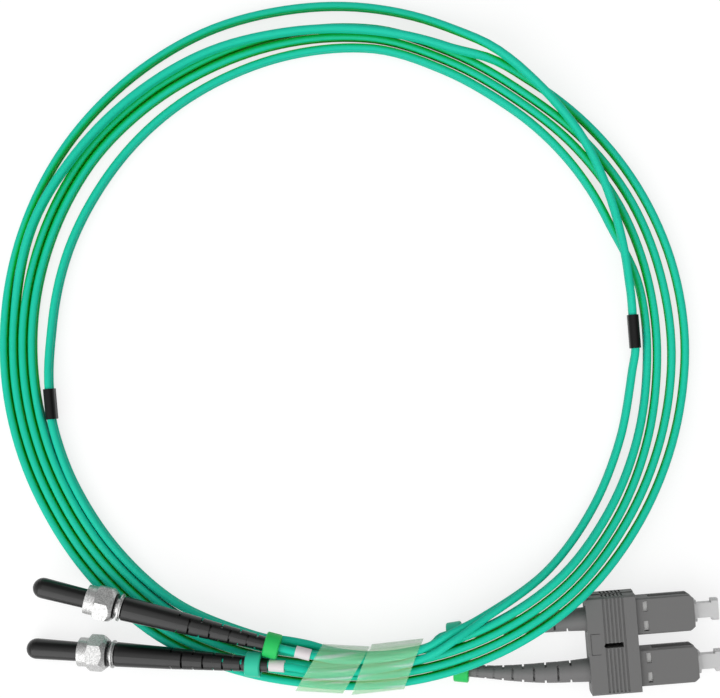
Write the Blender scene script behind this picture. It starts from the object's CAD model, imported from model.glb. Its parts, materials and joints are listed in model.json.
"""Looks of a coiled duplex fibre patch cord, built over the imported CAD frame. Metres, Z up."""
import json
import math

import bpy
import numpy as np
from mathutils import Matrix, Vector


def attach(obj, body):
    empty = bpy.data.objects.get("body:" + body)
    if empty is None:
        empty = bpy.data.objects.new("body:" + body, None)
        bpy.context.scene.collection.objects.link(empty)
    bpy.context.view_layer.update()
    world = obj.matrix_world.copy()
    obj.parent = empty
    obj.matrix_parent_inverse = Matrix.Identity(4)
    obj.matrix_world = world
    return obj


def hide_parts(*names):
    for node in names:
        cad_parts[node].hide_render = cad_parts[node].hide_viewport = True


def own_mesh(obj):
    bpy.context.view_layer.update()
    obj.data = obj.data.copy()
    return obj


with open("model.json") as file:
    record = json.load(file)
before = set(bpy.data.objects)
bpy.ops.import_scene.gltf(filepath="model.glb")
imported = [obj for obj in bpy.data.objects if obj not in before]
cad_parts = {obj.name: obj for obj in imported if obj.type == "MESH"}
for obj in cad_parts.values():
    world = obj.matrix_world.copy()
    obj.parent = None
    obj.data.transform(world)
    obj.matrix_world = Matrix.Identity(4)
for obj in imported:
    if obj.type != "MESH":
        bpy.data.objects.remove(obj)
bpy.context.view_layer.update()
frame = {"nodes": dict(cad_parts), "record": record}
scene = bpy.context.scene
MM = 0.001

# ---------- camera: straight above the table, about 21 mm beside the middle of the picture ----------
CAMERA_AT = (-35.87 * MM, 69.93 * MM, 420 * MM)
CAMERA_TURN = -4.6
SENSOR_W, LENS = 36, 83.65
SHIFT_X, SHIFT_Y = -0.1184, 0.0333
NEAREST = 0.01

cam_data = bpy.data.cameras.new("camera")
cam = bpy.data.objects.new("camera", cam_data)
scene.collection.objects.link(cam)
scene.camera = cam
cam.location = CAMERA_AT
cam.rotation_euler = (0, 0, math.radians(CAMERA_TURN))
cam_data.sensor_width = SENSOR_W
cam_data.lens = LENS
cam_data.shift_x = SHIFT_X
cam_data.shift_y = SHIFT_Y
cam_data.clip_start = NEAREST

# ---------- the cord's sizes and route in millimetres, as in the part's source ----------
STRAND = 1.9
PITCH = 2.0
ZIP_H = STRAND + PITCH
OVER = ZIP_H + 0.45
COIL_AT = np.array([-59.3, 78.7])
FIRST_RING, RING_STEP, RING_PARTS = 8.5, 15, 4
# places round the coil in degrees, and the radius of each pass at them
STATIONS = [8.5, 38.5, 68.5, 98.5, 113.5, 128.5, 158.5, 173.5, 188.5, 218.5, 233.5, 248.5,
            278.5, 308.5, 338.5]
PASSES = [
    [74.3, 73.6, 73.7, 74.4, 72.8, 71.8, 71.8, 74.0, 74.6, 76.4, 77.1, 77.1, 77.3, 79.8, 79.0],
    [79.05, 78.9, 77.4, 76.9, 75.2, 74.3, 76.1, 76.5, 77.1, 78.95, 79.45, 79.45, 79.65, 82.15, 81.35],
    [81.4, 81.25, 79.75, 79.3, 77.6, 76.7, 79.2, 79.9, 80.7, 81.4, 81.8, 81.8, 82.0, 84.5, 83.7],
    [83.75, 83.6, 82.15, 81.7, 80.0, 80.1, 82.4, 83.4, 84.0, 84.1, 84.15, 84.15, 84.35, 86.85, 86.05],
    [86.1, 86.4, 86.1, 84.4]
]
# [turn, height] where every pass rises over the boots and the clip
HUMP = [[188.5, 0], [203.5, 2.4], [218.5, 6.3], [233.5, 10.0], [248.5, 8.3], [263.5, 5.3],
        [278.5, 2.9], [293.5, 0.6], [308.5, 0]]
# [turn, radius, height] where a pass rides over another, crosses the coil, and starts
RIDE = [[1088.5, 83.75, 0], [1103.5, 83.8, 2.9], [1118.5, 82.4, OVER], [1133.5, 81.3, OVER],
        [1148.5, 80.4, OVER], [1163.5, 78.9, OVER], [1178.5, 78.1, OVER], [1193.5, 77.8, OVER],
        [1197.25, 78.4, OVER], [1201, 79.4, 3.2], [1204.75, 79.9, 1.3], [1208.5, 80.1, 0]]
CROSS = [[1538.5, 84.4, 0], [1546, 83.6, 1.1], [1553.5, 82.5, 3.4], [1561, 81.7, 6.0],
         [1564.75, 81.0, 6.1], [1568.5, 80.3, 5.2], [1576, 78.9, OVER], [1583.5, 77.4, OVER],
         [1591, 75.5, OVER], [1598.5, 73.7, OVER], [1606, 72.2, OVER], [1613.5, 71.2, 3.9],
         [1618.2, 71.1, 1.7], [1621.8, 71.1, 1.7]]
START = [[-6.5, 75.8, 0.65], [-3.0, 75.45, 0.65]]
# [turn, radius, height] of each single tail between its boot and its sleeve
SC_A_ROUTE = [[259, 77.4, 3.0], [263.5, 77.8, 2.7], [269, 77.6, 2.3], [274, 77.0, 2.0],
              [278.5, 76.2, 1.9], [282, 75.3, 2.1], [286, 75.0, 2.9], [293.5, 76.2, 3.0],
              [308.5, 77.4, 3.0], [323.5, 77.2, 3.0], [338.5, 76.9, 3.0]]
SC_B_ROUTE = [[260, 83.0, 3.0], [264, 81.6, 2.7], [269, 80.2, 2.3], [274, 79.3, 1.9],
              [278.5, 78.5, 1.4], [282, 77.2, 1.0], [286, 76.0, 1.0], [293.5, 76.2, 1.0],
              [308.5, 77.4, 1.0], [323.5, 77.2, 1.0], [338.5, 76.9, 1.0]]
SMA_A_ROUTE = [[276.5, 77.6, 8.1], [270, 77.5, 9.1], [263.5, 77.2, 10.4], [259, 76.2, 11.6],
               [254.5, 74.8, 12.2], [248.5, 74.5, 9.8], [233.5, 74.4, 5.9], [218.5, 73.0, 2.8],
               [203.5, 71.6, 1.2], [189, 71.0, 1.9]]
SMA_B_ROUTE = [[279.5, 80.8, 8.1], [271, 80.2, 9.0], [263.5, 79.3, 10.4], [259, 78.3, 12.4],
               [254.5, 76.5, 13.8], [248.5, 75.0, 12.0], [233.5, 74.4, 8.0], [218.5, 73.0, 4.8],
               [203.5, 71.6, 3.2], [189, 71.0, 4.0]]


def on_coil(turn, radius, height):
    a = math.radians(turn)
    return np.array([COIL_AT[0] - radius * math.cos(a), COIL_AT[1] + radius * math.sin(a), height])


def unit(v):
    return v / np.linalg.norm(v)


def eased(knots, t, k):
    """Column k of a list of knots at place t, eased between the knots."""
    if t <= knots[0][0]:
        return knots[0][k]
    for a, b in zip(knots, knots[1:]):
        if t <= b[0]:
            s = (t - a[0]) / (b[0] - a[0])
            return a[k] + (b[k] - a[k]) * s * s * (3 - 2 * s)
    return knots[-1][k]


def inside(knots, t):
    return knots[0][0] <= t <= knots[-1][0]


FULL_TURN = 360
LANES = [[FULL_TURN * n + STATIONS[k], r] for n, row in enumerate(PASSES) for k, r in enumerate(row)]


def coil_radius(t):
    if inside(CROSS, t):
        return eased(CROSS, t, 1)
    if inside(RIDE, t):
        return eased(RIDE, t, 1)
    return eased(START, t, 1) if t < 0 else eased(LANES, t, 1)


def coil_height(t):
    if inside(CROSS, t):
        return eased(CROSS, t, 2)
    if inside(RIDE, t):
        return eased(RIDE, t, 2)
    if t < FIRST_RING:
        return eased([START[1], [FIRST_RING, 0, 0]], t, 2)
    return eased(HUMP, t % FULL_TURN, 1)


def curve_through(xs, ys, at):
    """A smooth curve through points that never overshoots them (monotone cubic)."""
    xs, ys = np.array(xs, float), np.array(ys, float)
    h, d = np.diff(xs), np.diff(ys) / np.diff(xs)
    m = np.zeros(len(xs))
    for i in range(1, len(xs) - 1):
        if d[i - 1] * d[i] > 0:
            w1, w2 = 2 * h[i] + h[i - 1], h[i] + 2 * h[i - 1]
            m[i] = (w1 + w2) / (w1 / d[i - 1] + w2 / d[i])
    m[0], m[-1] = d[0], d[-1]
    k = np.clip(np.searchsorted(xs, at) - 1, 0, len(xs) - 2)
    t = (at - xs[k]) / h[k]
    return ((1 + 2 * t) * (1 - t) ** 2 * ys[k] + t * (1 - t) ** 2 * h[k] * m[k]
            + t * t * (3 - 2 * t) * ys[k + 1] + t * t * (t - 1) * h[k] * m[k + 1])


def spline_through(points, step):
    """A smooth line through points in space, with a point every step or less (centripetal)."""
    p = [np.array(q, float) for q in points]
    p = [2 * p[0] - p[1]] + p + [2 * p[-1] - p[-2]]
    out = []
    for i in range(1, len(p) - 2):
        a, b, c, d = p[i - 1:i + 3]
        t0 = 0.0
        t1 = t0 + np.linalg.norm(b - a) ** 0.5
        t2 = t1 + np.linalg.norm(c - b) ** 0.5
        t3 = t2 + np.linalg.norm(d - c) ** 0.5
        n = max(1, int(math.ceil(np.linalg.norm(c - b) / step)))
        for t in np.linspace(t1, t2, n, endpoint=False):
            a1 = a + (b - a) * (t - t0) / (t1 - t0)
            a2 = b + (c - b) * (t - t1) / (t2 - t1)
            a3 = c + (d - c) * (t - t2) / (t3 - t2)
            b1 = a1 + (a2 - a1) * (t - t0) / (t2 - t0)
            b2 = a2 + (a3 - a2) * (t - t1) / (t3 - t1)
            out.append(b1 + (b2 - b1) * (t - t1) / (t2 - t1))
    out.append(p[-2])
    return np.array(out)


END_ROOM = 5
FINE_STEP = 2.0
LAST_TURN = CROSS[-1][0]
knot_turns = {k[0] for k in RIDE + CROSS}
rings = [START[0][0], START[1][0]]
for i in range(int((LAST_TURN - END_ROOM - FIRST_RING) / (RING_STEP / RING_PARTS)) + 1):
    t = FIRST_RING + i * RING_STEP / RING_PARTS
    if i % RING_PARTS == 0 or t in knot_turns:
        rings.append(t)
rings += [CROSS[-2][0], LAST_TURN]
coil_run = [on_coil(t, coil_radius(t), coil_height(t)) for t in rings]
turns = np.linspace(rings[0], rings[-1], 1 + int((rings[-1] - rings[0]) / FINE_STEP))
radii = curve_through(rings, [coil_radius(t) for t in rings], turns)
heights = curve_through(rings, [coil_height(t) for t in rings], turns)
zip_line = np.array([on_coil(t, r, z) for t, r, z in zip(turns, radii, heights)])

# ---------- where the tails start ----------
SC_PLUG_Z, SC_PITCH = 4.9, 12.7
SC_SIDE = [1, -1]
SC_BOOT_FRONT, SC_TAIL_FRONT = -4.7, -8.3
# first slot, first and last pitch, and count; then the bend's angle and the way that it goes
SC_SLOTS = [6.1, 3.2, 1.9, 10]
SC_BEND = [[7.8, 226], [11.0, 327]]
TAIL_SLOTS = (0, 3, 6, 9)
PAST_BOOT = 8.5
SMA_AT = [[-128.15, 21.6, 8.65], [-131.8, 8.2, 4.45]]
SMA_HEADING = [161.4, 172.3]
SMA_TILT = [0.6, 5.7]
SMA_MARKER_AT = [54.8, 49.7]
MARKER_LEN, PAST_MARKER = 3.8, 0.6
SMA_TAIL_FRONT = -15.2
LEAD = 4.6


def slot_at(slots, i):
    """Distance of slot i of a boot from the boot's front."""
    if i <= 0:
        return slots[0]
    return slot_at(slots, i - 1) + slots[1] + (slots[2] - slots[1]) * (i - 1) / (slots[3] - 2)


def slot_heading(slots, bend, i):
    return math.radians(bend[0] * (i + 1) / slots[3])


def slot_place(slots, bend, i):
    if i <= 0:
        return np.array([slots[0], 0.0])
    a = slot_heading(slots, bend, i - 1)
    return slot_place(slots, bend, i - 1) + (slot_at(slots, i) - slot_at(slots, i - 1)) * np.array(
        [math.cos(a), math.sin(a)])


def bent_point(slots, bend, i, past=0.0):
    """Centre of slot i of a bent boot, or a point some way past it."""
    p, a, way = slot_place(slots, bend, i), slot_heading(slots, bend, i), math.radians(bend[1])
    d = p[1] + past * math.sin(a)
    return np.array([-(p[0] + past * math.cos(a)), d * math.cos(way), d * math.sin(way)])


def sc_point(k, p):
    return np.array(p) + [0, SC_SIDE[k] * SC_PITCH / 2, SC_PLUG_Z]


def sma_point(k, s):
    h, t = math.radians(SMA_HEADING[k]), math.radians(SMA_TILT[k])
    way = np.array([math.cos(t) * math.cos(h), math.cos(t) * math.sin(h), -math.sin(t)])
    return np.array(SMA_AT[k]) + s * way


def sc_tail(k, route, height):
    end, way = coil_run[0], unit(coil_run[0] - coil_run[1])
    front = np.array([SC_BOOT_FRONT, 0, 0])
    return ([sc_point(k, [SC_TAIL_FRONT, 0, 0])]
            + [sc_point(k, front + bent_point(SC_SLOTS, SC_BEND[k], i)) for i in TAIL_SLOTS]
            + [sc_point(k, front + bent_point(SC_SLOTS, SC_BEND[k], TAIL_SLOTS[-1], PAST_BOOT))]
            + [on_coil(*p) for p in route]
            + [end + LEAD * way + [0, 0, height], end + [0, 0, height]])


def sma_tail(k, route, height):
    end, way = coil_run[-1], unit(coil_run[-1] - coil_run[-2])
    past_marker = -SMA_MARKER_AT[k] - MARKER_LEN / 2 - PAST_MARKER
    return ([sma_point(k, SMA_TAIL_FRONT), sma_point(k, past_marker)]
            + [on_coil(*p) for p in route]
            + [end + LEAD * way + [0, 0, height], end + [0, 0, height]])


# ---------- materials ----------
GRAIN_DEEP = 0.00005
JACKET_OPEN, JACKET_SHADED = (0.011, 0.59, 0.40), (0.001, 0.54, 0.012)
JACKET_REACH, JACKET_SAMPLES = 0.007, 8
NICKEL, NICKEL_DARK, NICKEL_PALE = (0.52, 0.52, 0.515), (0.40, 0.40, 0.395), (0.63, 0.63, 0.625)
NICKEL_GRAIN, NICKEL_DEEP = 3000, 0.00004
TAPE, TAPE_PALE = (0.40, 0.88, 0.44), (0.90, 1.0, 0.90)
TAPE_TURN, TAPE_STRETCH = math.radians(-14), (60, 800, 300)
TAPE_DEEP = 0.0008


def shader(m):
    return m.node_tree.nodes["Principled BSDF"]


def material(name, color, rough=0.5, metal=0.0, specular=0.5, transmission=0.0, alpha=1.0):
    m = bpy.data.materials.new(name)
    m.use_nodes = True
    b = shader(m)
    b.inputs["Base Color"].default_value = (*color, 1)
    b.inputs["Roughness"].default_value = rough
    b.inputs["Metallic"].default_value = metal
    b.inputs["Specular IOR Level"].default_value = specular
    b.inputs["Transmission Weight"].default_value = transmission
    b.inputs["Alpha"].default_value = alpha
    return m


def node(m, kind, **inputs):
    n = m.node_tree.nodes.new(kind)
    for k, v in inputs.items():
        n.inputs[k].default_value = v
    return n


def link(m, a, out, b, into):
    m.node_tree.links.new(a.outputs[out], b.inputs[into])


def noise(m, scale, detail=2.0):
    """A noise texture in the piece's own coordinates."""
    tex = node(m, "ShaderNodeTexNoise", Scale=scale, Detail=detail)
    link(m, node(m, "ShaderNodeTexCoord"), "Object", tex, "Vector")
    return tex


def bumped(m, tex, strength, distance):
    """Let a texture raise the surface."""
    bump = node(m, "ShaderNodeBump", Strength=strength, Distance=distance)
    link(m, tex, "Fac", bump, "Height")
    link(m, bump, "Normal", shader(m), "Normal")


def grain(m, scale, strength):
    """Fine moulded texture."""
    bumped(m, noise(m, scale), strength, GRAIN_DEEP)
    return m


def shaded(m, source, out, limits, low, high):
    """Base colour that goes from low to high as a value passes two limits."""
    factor = m.node_tree.nodes.new("ShaderNodeMapRange")
    factor.interpolation_type = "SMOOTHSTEP"
    factor.inputs["From Min"].default_value, factor.inputs["From Max"].default_value = limits
    link(m, source, out, factor, "Value")
    mix = m.node_tree.nodes.new("ShaderNodeMix")
    mix.data_type = "RGBA"
    factor_in, low_in, high_in, colour_out = 0, 6, 7, 2
    mix.inputs[low_in].default_value = (*low, 1)
    mix.inputs[high_in].default_value = (*high, 1)
    link(m, factor, "Result", mix, factor_in)
    link(m, mix, colour_out, shader(m), "Base Color")


def jacket_material():
    """Aqua PVC, greener where passes lie close together."""
    m = material("jacket", JACKET_OPEN, rough=0.42, specular=0.12)
    room = node(m, "ShaderNodeAmbientOcclusion", Distance=JACKET_REACH)
    room.samples = JACKET_SAMPLES
    room.only_local = True
    shaded(m, room, "AO", (0.25, 0.92), JACKET_SHADED, JACKET_OPEN)
    return m


def nickel_material():
    """Satin nickel plate, speckled."""
    m = material("nickel", NICKEL, rough=0.32, metal=0.55)
    tex = noise(m, NICKEL_GRAIN)
    shaded(m, tex, "Fac", (0.36, 0.64), NICKEL_DARK, NICKEL_PALE)
    bumped(m, tex, 0.5, NICKEL_DEEP)
    return m


def tape_material():
    """Clear green film, drawn tight, with wrinkles that run across it."""
    m = material("tape", TAPE, rough=0.2, alpha=0.27, specular=0.6)
    stretch = node(m, "ShaderNodeMapping", Rotation=(0, 0, TAPE_TURN), Scale=TAPE_STRETCH)
    link(m, node(m, "ShaderNodeTexCoord"), "Object", stretch, "Vector")
    tex = node(m, "ShaderNodeTexNoise", Scale=1.0, Detail=3.0)
    link(m, stretch, "Vector", tex, "Vector")
    bumped(m, tex, 0.8, TAPE_DEEP)
    shaded(m, tex, "Fac", (0.55, 0.68), TAPE, TAPE_PALE)
    return m


BY_SLOT = dict(
    jacket=jacket_material(),
    sc_grey=grain(material("sc_grey", (0.154, 0.153, 0.152), 0.55, specular=0.3), 2600, 0.25),
    frame_grey=grain(material("frame_grey", (0.60, 0.60, 0.59), 0.5), 2600, 0.15),
    sc_boot_grey=grain(material("sc_boot_grey", (0.17, 0.168, 0.168), 0.5, specular=0.3), 1800, 0.2),
    zirconia=material("zirconia", (0.88, 0.86, 0.80), 0.15),
    nickel=nickel_material(),
    steel=material("steel", (0.60, 0.60, 0.60), 0.3, metal=1.0),
    crimp=material("crimp", (0.62, 0.62, 0.61), 0.35, metal=1.0),
    buffer=material("buffer", (0.85, 0.82, 0.72), 0.5),
    cap_clear=grain(material("cap_clear", (0.67, 0.67, 0.67), 0.35, transmission=0.2), 1400, 0.3),
    black_rubber=grain(material("black_rubber", (0.003, 0.003, 0.003), 0.30, specular=0.42), 1500, 0.2),
    black_sleeve=material("black_sleeve", (0.004, 0.004, 0.004), 0.4, specular=0.15),
    white_sleeve=material("white_sleeve", (0.74, 0.69, 0.70), 0.5),
    ring_green=material("ring_green", (0.018, 0.57, 0.12), 0.4, specular=0.2),
    ring_teal=material("ring_teal", (0.033, 0.57, 0.37), 0.4, specular=0.2),
    tape=tape_material(),
)
slot_of = {s["node"]: s["material_slot"] for s in frame["record"]["subparts"]}
for name, obj in frame["nodes"].items():
    obj.data.materials.clear()
    obj.data.materials.append(BY_SLOT[slot_of[name]])


# ---------- swept tubes ----------
def add_object(name, data):
    obj = bpy.data.objects.new(name, data)
    scene.collection.objects.link(obj)
    return obj


def swept(name, line, outline, mat):
    """A closed tube of an outline along a line of points in millimetres, kept upright."""
    m, n = len(line), len(outline)
    verts, faces = [], []
    for i, p in enumerate(line):
        t = unit(line[min(i + 1, m - 1)] - line[max(i - 1, 0)])
        side = unit(np.cross(t, [0, 0, 1]))
        up = np.cross(side, t)
        verts += [tuple((p + side * x + up * y) * MM) for x, y in outline]
    for i in range(m - 1):
        for j in range(n):
            a, b = i * n + j, i * n + (j + 1) % n
            faces.append((a, b, b + n, a + n))
    faces.append(tuple(reversed(range(n))))
    faces.append(tuple(range((m - 1) * n, m * n)))
    mesh = bpy.data.meshes.new(name)
    mesh.from_pydata(verts, [], faces)
    mesh.update()
    for poly in mesh.polygons:
        poly.use_smooth = poly.loop_total == 4
    mesh.materials.append(mat)
    return add_object(name, mesh)


WEB_W = 0.7
ARC_FROM, ARC_POINTS = -84, 11
ROUND_POINTS = 20
ROUTE_STEP = 1.5
radius = STRAND / 2
web_angle = math.degrees(math.acos(WEB_W / STRAND))
arc = [math.radians(a) for a in np.linspace(ARC_FROM, web_angle, ARC_POINTS)]
half = [(radius * math.cos(a), radius + radius * math.sin(a)) for a in arc]
half += [(x, ZIP_H - y) for x, y in reversed(half)]
zip_outline = half + [(-x, y) for x, y in reversed(half)]
strand_outline = [(radius * math.cos(a), radius * math.sin(a))
                  for a in np.linspace(0, 2 * math.pi, ROUND_POINTS, endpoint=False)]


def lay_cord(name, line, outline, node_name):
    obj = swept(name, line, outline, BY_SLOT["jacket"])
    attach(obj, "cord")
    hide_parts(node_name)


lay_cord("twin_cord", zip_line, zip_outline, "zip_cord")
LOW, HIGH = radius, radius + PITCH
TAILS = dict(
    sc_a_tail=sc_tail(0, SC_A_ROUTE, HIGH),
    sc_b_tail=sc_tail(1, SC_B_ROUTE, LOW),
    sma_a_tail=sma_tail(0, SMA_A_ROUTE, LOW),
    sma_b_tail=sma_tail(1, SMA_B_ROUTE, HIGH),
)
for name, run in TAILS.items():
    lay_cord(name + "_strand", spline_through(run, ROUTE_STEP), strand_outline, name)

# ---------- the coil springs, pressed together as the ferrules float back ----------
for name in ("sc_a", "sc_b"):
    cad_spring = frame["nodes"][name + "_spring"]
    coil = add_object(name + "_spring_coil", cad_spring.data.copy())
    coil.matrix_world = cad_spring.matrix_world.copy()
    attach(coil, "cord")
    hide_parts(name + "_spring")
    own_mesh(coil)

# ---------- floor and light ----------
FLOOR = 8.0
FLOOR_Z = -0.0002
FLOOR_LIT, FLOOR_SHOWN, FLOOR_GLOW = 0.4, 0.3, 0.75
WORLD_LIT, WORLD_FAR, WORLD_NEAR = 0.42, 0.25, 1.0
KEY_WAY, KEY_SPAN = (-0.55, -0.55, 0.63), (-0.2, 1.0)
AIM = (-0.06, 0.06, 0)
WHITE = (1, 1, 1, 1)

floor_mesh = bpy.data.meshes.new("floor")
corners = [(-FLOOR, -FLOOR, 0), (FLOOR, -FLOOR, 0), (FLOOR, FLOOR, 0), (-FLOOR, FLOOR, 0)]
floor_mesh.from_pydata(corners, [], [(0, 1, 2, 3)])
floor = add_object("floor", floor_mesh)
floor.location.z = FLOOR_Z


def largest(tree, a, b):
    most = tree.nodes.new("ShaderNodeMath")
    most.operation = "MAXIMUM"
    tree.links.new(a, most.inputs[0])
    tree.links.new(b, most.inputs[1])
    return most.outputs[0]


def by_ray(tree, lighting, shown, socket):
    """Give a socket one value for the rays that light things, and another, a number or a node's
    output, for the rays that show the background: camera, glossy and transmission rays."""
    paths = tree.nodes.new("ShaderNodeLightPath").outputs
    seen = largest(tree, largest(tree, paths["Is Camera Ray"], paths["Is Glossy Ray"]),
                   paths["Is Transmission Ray"])
    span = tree.nodes.new("ShaderNodeMapRange")
    span.inputs["To Min"].default_value = lighting
    if isinstance(shown, float):
        span.inputs["To Max"].default_value = shown
    else:
        tree.links.new(shown, span.inputs["To Max"])
    tree.links.new(seen, span.inputs["Value"])
    tree.links.new(span.outputs["Result"], socket)


floor_mat = material("floor", (FLOOR_LIT, FLOOR_LIT, FLOOR_LIT), rough=0.9, specular=0.0)
floor_bsdf = shader(floor_mat)
floor_bsdf.inputs["Emission Color"].default_value = WHITE
by_ray(floor_mat.node_tree, FLOOR_LIT, FLOOR_SHOWN, floor_bsdf.inputs["Base Color"])
by_ray(floor_mat.node_tree, 0.0, FLOOR_GLOW, floor_bsdf.inputs["Emission Strength"])
floor_mesh.materials.append(floor_mat)

world = bpy.data.worlds.new("world")
scene.world = world
world.use_nodes = True
tree = world.node_tree
sky = tree.nodes["Background"]
sky.inputs["Color"].default_value = WHITE
# gloss shows a room that is paler toward the key lamp and greyer on the far side; the camera sees white
toward = tree.nodes.new("ShaderNodeVectorMath")
toward.operation = "DOT_PRODUCT"
toward.inputs[1].default_value = KEY_WAY
direction = tree.nodes.new("ShaderNodeTexCoord")
tree.links.new(direction.outputs["Generated"], toward.inputs[0])
room = tree.nodes.new("ShaderNodeMapRange")
room.interpolation_type = "SMOOTHSTEP"
room.inputs["From Min"].default_value, room.inputs["From Max"].default_value = KEY_SPAN
room.inputs["To Min"].default_value = WORLD_FAR
room.inputs["To Max"].default_value = WORLD_NEAR
tree.links.new(toward.outputs["Value"], room.inputs["Value"])
by_camera = tree.nodes.new("ShaderNodeLightPath").outputs["Is Camera Ray"]
by_ray(tree, WORLD_LIT, largest(tree, room.outputs["Result"], by_camera), sky.inputs["Strength"])


def area(name, at, size, power):
    """A round soft lamp that points at the coil."""
    data = bpy.data.lights.new(name, "AREA")
    data.shape = "DISK"
    data.size = size
    data.energy = power
    obj = add_object(name, data)
    obj.location = at
    obj.rotation_euler = (Vector(AIM) - Vector(at)).to_track_quat("-Z", "Y").to_euler()


area("key", at=(-0.75, -0.75, 0.93), size=1.8, power=15.0)
area("overhead", at=(0.1, 0.25, 0.95), size=1.2, power=2.6)
scene.view_settings.view_transform = "Standard"
